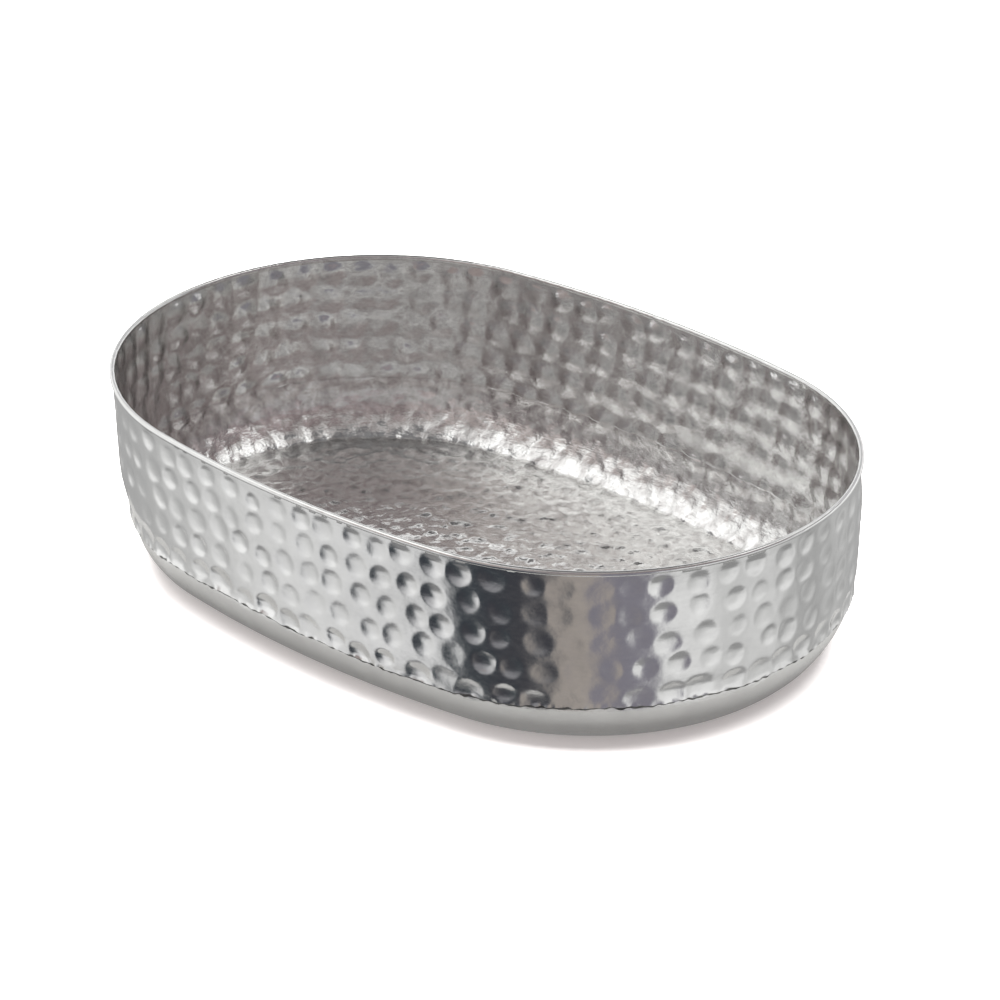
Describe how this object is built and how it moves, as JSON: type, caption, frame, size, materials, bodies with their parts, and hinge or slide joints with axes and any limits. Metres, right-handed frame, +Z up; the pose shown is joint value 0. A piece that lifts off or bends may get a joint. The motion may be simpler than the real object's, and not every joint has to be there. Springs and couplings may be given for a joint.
{
  "type": "hammered metal tray",
  "caption": "Deep oval tray with a hammered side wall, a smooth rounded foot, a flat floor and a wired rim.",
  "frame": {"origin": "centre of the flat underside, at the height of the table that the tray stands on", "axes": "+X along the tray's length, +Y across its width, +Z up, out of the open top"},
  "size_m": [0.35, 0.236, 0.084],
  "materials": {
    "hammered_sheet": "polished, with round hammer marks",
    "smooth_sheet": "polished outside, lightly hammered inside",
    "rim_wire": "drawn wire, closed inside the rolled rim",
    "solder": "dull, uneven bead"
  },
  "bodies": {
    "root": {"side_wall": "hammered_sheet", "rim_wire": "rim_wire", "base_pan": "smooth_sheet", "seam_solder": "solder"}
  },
  "joints": []
}
